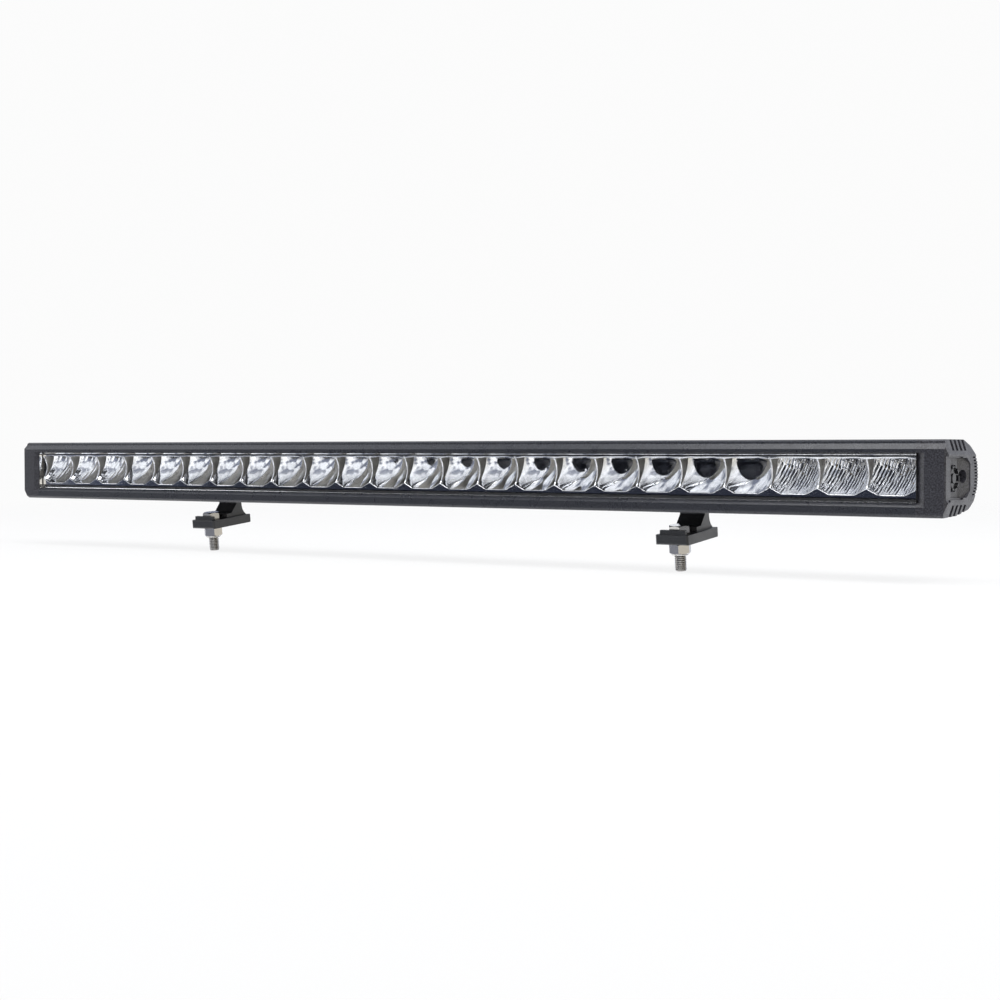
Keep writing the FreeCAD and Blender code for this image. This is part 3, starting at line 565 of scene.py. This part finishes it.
def pierce_ceiling(bm, centre, back, front):
    """Make the flat ceiling between the bowl's edge and the front again, with a round hole for the LED."""
    for i in range(len(back) - 1):
        for face in set(back[i].link_faces) & set(front[i].link_faces) & set(back[i + 1].link_faces):
            bm.faces.remove(face)
    rings = [[at(centre + LED_HOLE_SHIFT + LED_HOLE_R * math.cos(a), FOCUS_Y + LED_HOLE_R * math.sin(a), z)
              for a in turns(LED_HOLE_SEGMENTS)]
             for z in (CELL_Z + CELL_TOP, CELL_Z + CELL_TOP + LED_HOLE_DEPTH)]
    edges = loop_edges(bm, ring_surface(bm, rings)[0]) + loop_edges(bm, back + front[::-1])
    bmesh.ops.triangle_fill(bm, use_beauty=True, use_dissolve=False, edges=edges)


def reflector_module(index):
    """Three bowls joined by a flat mirror-coated flange with turned-back edges; the walls are duller."""
    width = CELL_PITCH * CELLS_PER_MODULE
    middle = (index - (MODULES - 1) / 2) * width
    half = width / 2 - MODULE_GAP
    bm = bmesh.new()
    edges = []
    for i in range(CELLS_PER_MODULE):
        edges += loop_edges(bm, cell(bm, middle + (i - 1) * CELL_PITCH, BOWL_FLUTES.get(index)))
    scooped = [CELL_Z + SHOULDER * (2 * k / SCOOP_STEPS - 1) for k in range(SCOOP_STEPS + 1)]
    heights = [FLANGE_LOW] + scooped + [FLANGE_HIGH]
    border = [(half, z) for z in heights] + [(-half, z) for z in reversed(heights)]
    rings = [[at(middle + x, FLANGE_FRONT + back + scoop(z - CELL_Z), z) for x, z in border]
             for back in (0, FLANGE_THICKNESS)]
    edges += loop_edges(bm, ring_surface(bm, rings)[0])
    bmesh.ops.triangle_fill(bm, use_beauty=True, use_dissolve=False, edges=edges)
    name = "reflector_bowls_%d" % (index + 1)
    obj = link(name, to_mesh(name, bm), CHROME, "bar", 30.0, ["reflector_%d" % (index + 1)])
    obj.data.materials.append(CELL_WALL)


# ---------------------------------------------------------------- light-emitting diodes
LED_Z, LED_HALF, LED_CORNER = 36.1, 1.75, 0.2
LED_BASE = [(1, 0), (1, 0.8), (0.96, 0.9)]              # share of the outline, height
LED_PHOSPHOR = [(0.5, 0.88), (0.5, 1.0)]
DOME_R, DOME_FOOT, DOME_STEPS, DOME_SEGMENTS = 1.5, 0.92, 10, 24


def led_packages():
    """Ceramic bases, phosphor squares and silicone domes in the ceiling of every cell, facing down."""
    count = MODULES * CELLS_PER_MODULE
    down = Matrix.Rotation(math.pi, 4, "X")
    outline = rounded([(x, y, LED_CORNER) for x, y in ((LED_HALF, LED_HALF), (-LED_HALF, LED_HALF),
                                                       (-LED_HALF, -LED_HALF), (LED_HALF, -LED_HALF))], 3)
    rises = [math.radians(90) * k / DOME_STEPS for k in range(DOME_STEPS)]
    dome_profile = [(DOME_R * math.cos(a), DOME_FOOT + DOME_R * math.sin(a)) for a in rises]
    base, phosphor, dome = bmesh.new(), bmesh.new(), bmesh.new()
    for i in range(count):
        place = Matrix.Translation(at((i - (count - 1) / 2) * CELL_PITCH, FOCUS_Y, LED_Z)) @ down
        place = place @ Matrix.Scale(MM, 4)
        for bm, steps in ((base, LED_BASE), (phosphor, LED_PHOSPHOR)):
            rings = [[place @ Vector((p.x * share, p.y * share, height)) for p in outline]
                     for share, height in steps]
            bm.faces.new(ring_surface(bm, rings)[-1])
        lathe(dome, dome_profile, place, DOME_SEGMENTS, close_start=True, close_end=True)
    link("led_bases", to_mesh("led_bases", base), CERAMIC, "bar", 40.0, ["leds"])
    link("led_phosphor", to_mesh("led_phosphor", phosphor), PHOSPHOR, "bar", 40.0)
    obj = link("led_domes", to_mesh("led_domes", dome), DOME, "bar", 60.0)
    obj.visible_shadow = False


# ---------------------------------------------------------------- bolts and nuts
BOLT_Y, PLATE_TOP, PLATE_BOTTOM = -20.2, -22.1, -28.6
HEX_FLATS, HEAD_HEIGHT, BOLT_LENGTH, NUT_HEIGHT, NUT_COLLAR = 13.0, 5.3, 25.0, 6.8, 1.2
THREAD_PITCH, THREAD_R, THREAD_DEPTH, TIP_CHAMFER = 1.25, 4.0, 0.68, 0.9
THREAD_SEGMENTS, ROWS_PER_PITCH = 48, 10
SHADED_ROOT_SHARE = 0.8                    # thread deeper than this share of its depth gets darker metal, as painted shade in the grooves
NUT_BORE_R, NUT_GAP = 4.05, 0.1


def foot_place(side, turn=0.0):
    """Axes of a foot's bolt in millimetres: Z up along the bolt, from the height of the slot's axis."""
    tilt = Matrix.Rotation(FOOT_TILT, 4, "X")
    spot = Matrix.Translation(Vector((FOOT_X[side], 0, 0)) * MM)
    offset = Matrix.Translation(Vector((0, BOLT_Y, 0)) * MM)
    return spot @ tilt @ offset @ Matrix.Rotation(math.radians(turn), 4, "Z") @ Matrix.Scale(MM, 4)


def threaded_stud(bm, place, top, tip):
    """Helical thread with a chamfered tip and painted shade: darker metal in its grooves."""
    rows = round((top - tip) / (THREAD_PITCH / ROWS_PER_PITCH))
    rings = []
    for row in range(rows + 1):
        height = tip + (top - tip) * row / rows
        ring = []
        for turn in turns(THREAD_SEGMENTS):
            phase = (height / THREAD_PITCH + turn / math.tau) % 1.0
            depth = min(1.0, max(0.0, abs(2 * phase - 1) * 1.35 - 0.15))
            radius = min(THREAD_R - THREAD_DEPTH * depth, THREAD_R - TIP_CHAMFER + (height - tip))
            ring.append(place @ Vector((radius * math.cos(turn), radius * math.sin(turn), height)))
        rings.append(ring)
    made = ring_surface(bm, rings)
    for low in made[:-1]:
        for corner in low:
            spot = place.inverted() @ corner.co
            # faces deep in the grooves get the darker metal, as painted shade
            if math.hypot(spot.x, spot.y) < THREAD_R - SHADED_ROOT_SHARE * THREAD_DEPTH:
                for face in corner.link_faces:
                    face.material_index = 1
    bm.faces.new(made[0])
    bm.faces.new(made[-1])


def bolt(side):
    """Hexagon bolt, pushed down through the foot."""
    place = foot_place(side)
    bm = bmesh.new()
    hex_block(bm, HEX_FLATS, PLATE_TOP, PLATE_TOP + HEAD_HEIGHT, place, bevel_low=False)
    threaded_stud(bm, place, PLATE_TOP, PLATE_TOP - BOLT_LENGTH)
    name = "stud_bolt_" + side
    obj = link(name, to_mesh(name, bm), STEEL, "foot_" + side, 32.0, ["foot_bolt_" + side])
    obj.data.materials.append(THREAD_ROOT_SHADE)


def nut(side):
    """Lock nut under the foot, with the rolled collar of its plastic ring."""
    place = foot_place(side, NUT_TURN[side])
    low = PLATE_BOTTOM - NUT_GAP - NUT_HEIGHT
    end = low - NUT_COLLAR
    bm = bmesh.new()
    hex_block(bm, HEX_FLATS, low, low + NUT_HEIGHT, place, bevel_low=True, hole=NUT_BORE_R)
    collar = [(NUT_BORE_R, low + 0.2), (4.3, end + 0.1), (4.6, end), (5.1, end + 0.05),
              (5.5, end + 0.35), (5.7, end + 0.8), (5.75, low + 0.1)]
    lathe(bm, collar, place)
    name = "lock_nut_" + side
    link(name, to_mesh(name, bm), STEEL, "nut_" + side, 32.0, ["foot_nut_" + side])


# ---------------------------------------------------------------- carried-over CAD pieces
WELD_DISTANCE = 0.00001             # metres
FLAT_ANGLE, BEVEL_ANGLE = math.radians(0.5), math.radians(25.0)
PLAIN_PIECES = {"lens_seal_top": RUBBER, "lens_seal_bottom": RUBBER, "cap_gasket_left": RUBBER,
                "cap_gasket_right": RUBBER, "gland_seal": RUBBER, "driver_board": GREEN_MASK,
                "driver_chokes": FERRITE, "driver_capacitors": SLEEVE, "board_screws": STEEL}
BEVELLED_PIECES = {"end_cap_left": END_CAP, "end_cap_right": END_CAP, "cap_screws": DARK_STEEL,
                   "breather_plug": NYLON, "blank_plug": NYLON, "gland_body": NYLON, "gland_nut": NYLON}
LED_BOARDS = 4


def refine(node, mat, bevel=0.25):
    """Give a CAD piece its material, with its sharp edges broken by a bevel in millimetres, if any."""
    obj = nodes[node]
    obj.data.materials.clear()
    obj.data.materials.append(mat)
    if bevel:
        weld = obj.modifiers.new("weld", "WELD")
        weld.merge_threshold = WELD_DISTANCE
        flat = obj.modifiers.new("planes", "DECIMATE")
        flat.decimate_type = "DISSOLVE"
        flat.angle_limit = FLAT_ANGLE
        edge = obj.modifiers.new("edges", "BEVEL")
        edge.width = bevel * MM
        edge.segments = 2
        edge.limit_method = "ANGLE"
        edge.angle_limit = BEVEL_ANGLE
        edge.miter_outer = "MITER_ARC"
        weighted = obj.modifiers.new("even_normals", "WEIGHTED_NORMAL")
        weighted.keep_sharp = True


def cad_pieces():
    """Pieces that keep their CAD shape."""
    for node, mat in PLAIN_PIECES.items():
        refine(node, mat, 0.0)
    for i in range(LED_BOARDS):
        refine("led_board_%d" % (i + 1), BLACK_MASK, 0.0)
    for node, mat in BEVELLED_PIECES.items():
        refine(node, mat)
    for side in FOOT_X:
        refine("foot_" + side, FOOT, 0.3)
        refine("shoe_" + side, BARE_ALUMINIUM, 0.2)
        refine("shoe_screws_" + side, DARK_STEEL, 0.1)


# ---------------------------------------------------------------- studio
WHITE, BLACK = (1, 1, 1), (0, 0, 0)
# Brightness of the surroundings by height, from straight below to straight above ...
SKY = [(0.0, (1.45, 1.45, 1.45)), (0.46, (1.6, 1.6, 1.6)), (0.56, (1.5, 1.52, 1.56)),
       (0.68, (1.15, 1.18, 1.24)), (1.0, (0.90, 0.91, 0.94))]
# ... and from the left to the right
FLANKS = [(0.0, WHITE), (0.5, (0.95, 0.97, 1.0)), (0.74, (1.1, 1.1, 1.1)), (0.88, (0.60, 0.57, 0.50)),
          (1.0, (0.50, 0.47, 0.41))]
# Dark patches by the value of a noise, weaker towards the ground and straight above
PATCHES = [(0.42, (0.11, 0.125, 0.18)), (0.50, WHITE)]
PATCH_SCALE, PATCH_DETAIL = 2.4, 1.0
PATCH_BAND = [(0.0, (0.4, 0.4, 0.4)), (0.15, WHITE), (0.90, WHITE), (1.0, (0.2, 0.2, 0.2))]
DARK_SIDE = (-0.30, -0.954, 0.0)    # where the dark part of the studio lies, in front of the bar
DARK_EDGE = [(0.72, BLACK), (0.90, WHITE)]
DARK_BAND = [(0.36, BLACK), (0.46, WHITE), (0.60, WHITE), (0.72, BLACK)]
DARK_COLOUR = (0.030, 0.034, 0.050)
BACKDROP = 0.97                     # brightness behind the bar
# place, aim, size and power of each light
LIGHTS = {"overhead": ((0.25, -0.35, 1.2), (0.15, 0, 0), (1.3, 0.7), 11.0),
          "right": ((1.15, -0.1, 1.2), (0.4, 0, 0), (0.6, 0.6), 9.0),
          "left": ((-1.3, -0.7, 0.9), (-0.1, 0, 0), (0.6, 0.9), 2.6)}
FLOOR_RINGS, FLOOR_SEGMENTS = (0.001, 0.6, 1.2, 2.4, 5.0), 96
FLOOR_GAP = 0.0004                  # between the bolts and the floor
FLOOR_FADE = (0.5, 1.8)             # metres from the middle between which the floor fades out
FLOOR_CLEAR = 0.86                  # how much of the backdrop shows through its middle
# Fitted to the photo
CAMERA_PLACE = (0.7710, -1.0188, 0.02954)
CAMERA_TURN = (math.radians(88.38), 0, math.radians(34.80))
CAMERA_LENS, CAMERA_SENSOR = 62.88, 36.0


def area_light(name, place, aim, size, power):
    """Rectangular light turned towards a point."""
    data = bpy.data.lights.new(name, "AREA")
    data.shape = "RECTANGLE"
    data.size, data.size_y = size
    data.energy = power
    obj = bpy.data.objects.new(name, data)
    bpy.context.scene.collection.objects.link(obj)
    obj.location = place
    obj.rotation_euler = (Vector(aim) - Vector(place)).to_track_quat("-Z", "Y").to_euler()


def to_unit(tree, source):
    """Turn -1..1 into 0..1."""
    node = tree.nodes.new("ShaderNodeMapRange")
    node.inputs["From Min"].default_value = -1.0
    tree.links.new(source, node.inputs["Value"])
    return node.outputs["Result"]


def blend(tree, kind, share, first, second):
    """Mix two colours; share may be a socket or nothing, second a socket or a plain colour."""
    node = tree.nodes.new("ShaderNodeMixRGB")
    node.blend_type = kind
    node.inputs["Fac"].default_value = 1.0
    if share is not None:
        tree.links.new(share, node.inputs["Fac"])
    tree.links.new(first, node.inputs["Color1"])
    if isinstance(second, tuple):
        node.inputs["Color2"].default_value = (*second, 1)
    else:
        tree.links.new(second, node.inputs["Color2"])
    return node.outputs["Color"]


def surroundings(tree):
    """Colour of the studio by direction: soft gradients, uneven patches and a dark front."""
    coords = tree.nodes.new("ShaderNodeTexCoord")
    axes = tree.nodes.new("ShaderNodeSeparateXYZ")
    tree.links.new(coords.outputs["Generated"], axes.inputs[0])
    height = to_unit(tree, axes.outputs["Z"])
    sideways = to_unit(tree, axes.outputs["X"])
    sky = blend(tree, "MULTIPLY", None, ramp(tree, height, SKY), ramp(tree, sideways, FLANKS))
    noise = tree.nodes.new("ShaderNodeTexNoise")
    noise.inputs["Scale"].default_value = PATCH_SCALE
    noise.inputs["Detail"].default_value = PATCH_DETAIL
    tree.links.new(coords.outputs["Generated"], noise.inputs["Vector"])
    patches = ramp(tree, noise.outputs["Fac"], PATCHES)
    sky = blend(tree, "MULTIPLY", ramp(tree, height, PATCH_BAND), sky, patches)
    front = tree.nodes.new("ShaderNodeVectorMath")
    front.operation = "DOT_PRODUCT"
    front.inputs[1].default_value = DARK_SIDE
    tree.links.new(coords.outputs["Generated"], front.inputs[0])
    facing = ramp(tree, front.outputs["Value"], DARK_EDGE)
    dark = blend(tree, "MULTIPLY", None, facing, ramp(tree, height, DARK_BAND))
    return blend(tree, "MIX", dark, sky, DARK_COLOUR)


def studio():
    """Soft surroundings for the reflections, an even pale backdrop and three area lights."""
    scene = bpy.context.scene
    world = bpy.data.worlds.new("studio")
    scene.world = world
    world.use_nodes = True
    tree = world.node_tree
    lit = tree.nodes["Background"]
    tree.links.new(surroundings(tree), lit.inputs["Color"])
    seen = tree.nodes.new("ShaderNodeBackground")
    seen.inputs["Color"].default_value = (*WHITE, 1)
    seen.inputs["Strength"].default_value = BACKDROP
    path = tree.nodes.new("ShaderNodeLightPath")
    mix = tree.nodes.new("ShaderNodeMixShader")
    tree.links.new(path.outputs["Is Camera Ray"], mix.inputs["Fac"])
    tree.links.new(lit.outputs[0], mix.inputs[1])
    tree.links.new(seen.outputs[0], mix.inputs[2])
    tree.links.new(mix.outputs[0], tree.nodes["World Output"].inputs["Surface"])
    scene.view_settings.view_transform = "Standard"
    for name, (place, aim, size, power) in LIGHTS.items():
        area_light(name, place, aim, size, power)


def fading(tree, surface):
    """Shader that is more and more see-through with distance from the middle."""
    coords = tree.nodes.new("ShaderNodeTexCoord")
    length = tree.nodes.new("ShaderNodeVectorMath")
    length.operation = "LENGTH"
    tree.links.new(coords.outputs["Object"], length.inputs[0])
    fade = tree.nodes.new("ShaderNodeMapRange")
    fade.interpolation_type = "SMOOTHSTEP"
    fade.inputs["From Min"].default_value, fade.inputs["From Max"].default_value = FLOOR_FADE
    fade.inputs["To Min"].default_value = FLOOR_CLEAR
    tree.links.new(length.outputs["Value"], fade.inputs["Value"])
    hollow = tree.nodes.new("ShaderNodeBsdfTransparent")
    mix = tree.nodes.new("ShaderNodeMixShader")
    tree.links.new(fade.outputs["Result"], mix.inputs["Fac"])
    tree.links.new(surface, mix.inputs[1])
    tree.links.new(hollow.outputs[0], mix.inputs[2])
    return mix.outputs[0]


def floor():
    """Pale floor that fades into the backdrop with distance."""
    bm = bmesh.new()
    ring_surface(bm, [[Vector((radius * math.cos(a), radius * math.sin(a), 0)) for a in turns(FLOOR_SEGMENTS)]
                      for radius in FLOOR_RINGS])
    obj = bpy.data.objects.new("floor", to_mesh("floor", bm))
    bpy.context.scene.collection.objects.link(obj)
    obj.location.z = cad_box[0].z - FLOOR_GAP
    mat, tree, shader = new_material("pale_floor", (0.86, 0.86, 0.86), 0.8)
    tree.links.new(fading(tree, shader.outputs[0]), tree.nodes["Material Output"].inputs["Surface"])
    obj.data.materials.append(mat)


def camera():
    """Camera at the photo's angle."""
    data = bpy.data.cameras.new("camera")
    data.lens = CAMERA_LENS
    data.sensor_width = CAMERA_SENSOR
    obj = bpy.data.objects.new("camera", data)
    bpy.context.scene.collection.objects.link(obj)
    obj.location = CAMERA_PLACE
    obj.rotation_euler = CAMERA_TURN
    bpy.context.scene.camera = obj


housing()
lens()
for module in range(MODULES):
    reflector_module(module)
led_packages()
for foot_side in FOOT_X:
    bolt(foot_side)
    nut(foot_side)
cad_pieces()
studio()
floor()
camera()
